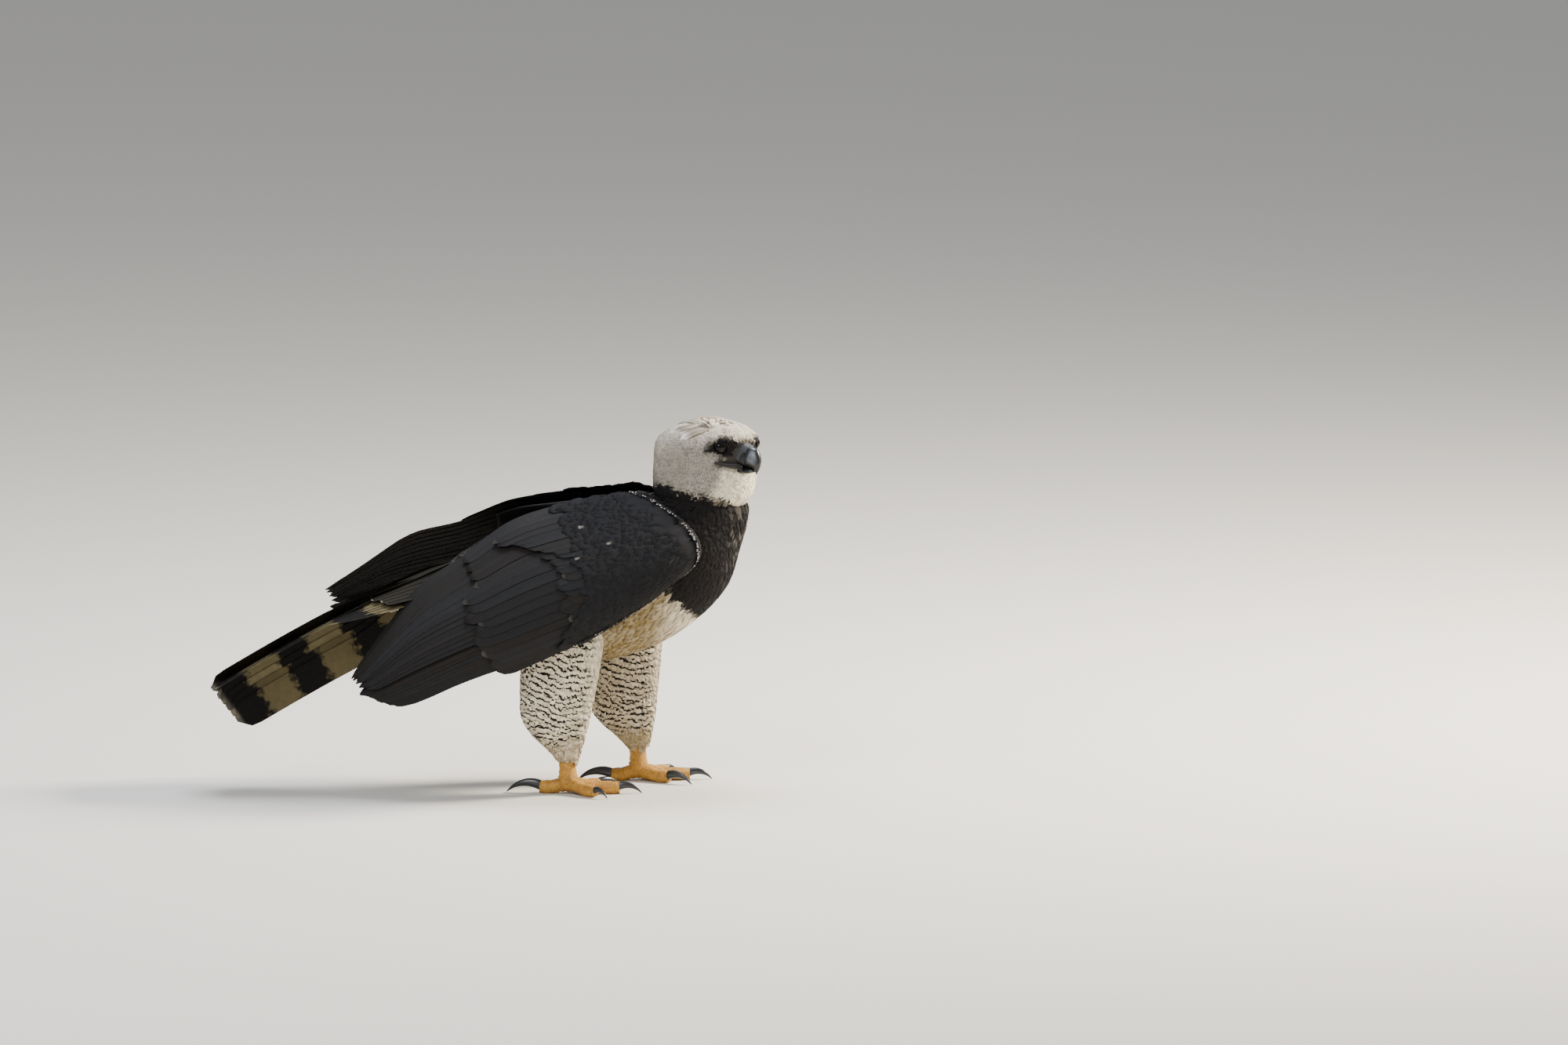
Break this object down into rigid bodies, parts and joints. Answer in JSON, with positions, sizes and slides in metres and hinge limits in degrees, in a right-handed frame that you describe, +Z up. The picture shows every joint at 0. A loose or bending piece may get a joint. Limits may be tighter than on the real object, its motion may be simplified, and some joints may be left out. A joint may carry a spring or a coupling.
{
  "type": "harpy eagle",
  "caption": "Life-size standing harpy eagle with folded wings, head turned to its right and closed tail; still display model.",
  "frame": {"origin": "on the floor, below the middle of the bird's bounding box", "axes": "+X forward, from the tail towards the breast; +Y to the bird's left; +Z up"},
  "size_m": [0.887, 0.3436, 0.5981],
  "materials": {
    "slate_plumage": "slate-black flight feathers and coverts with a soft sheen",
    "dark_plumage": "matt black-brown body feathers",
    "grey_plumage": "soft pale grey head feathers",
    "barred_plumage": "white to buff feathers with black bars",
    "horn": "polished dark slate horn of the bill and claws",
    "cere_skin": "matt dark grey skin",
    "yellow_skin": "scaly yellow skin of the legs",
    "eye": "wet dark brown eye"
  },
  "bodies": {
    "root": {"torso": "dark_plumage", "neck": "dark_plumage", "head": "grey_plumage", "cere": "cere_skin", "bill_upper": "horn", "bill_lower": "horn", "eye_right": "eye", "eye_left": "eye", "tail": "barred_plumage", "trouser_right": "barred_plumage", "trouser_left": "barred_plumage", "foot_right": "yellow_skin", "foot_left": "yellow_skin", "claw_right_toe_1": "horn", "claw_right_toe_2": "horn", "claw_right_toe_3": "horn", "claw_right_toe_4": "horn", "claw_left_toe_1": "horn", "claw_left_toe_2": "horn", "claw_left_toe_3": "horn", "claw_left_toe_4": "horn", "wing_right": "slate_plumage", "wing_left": "slate_plumage"}
  },
  "joints": []
}
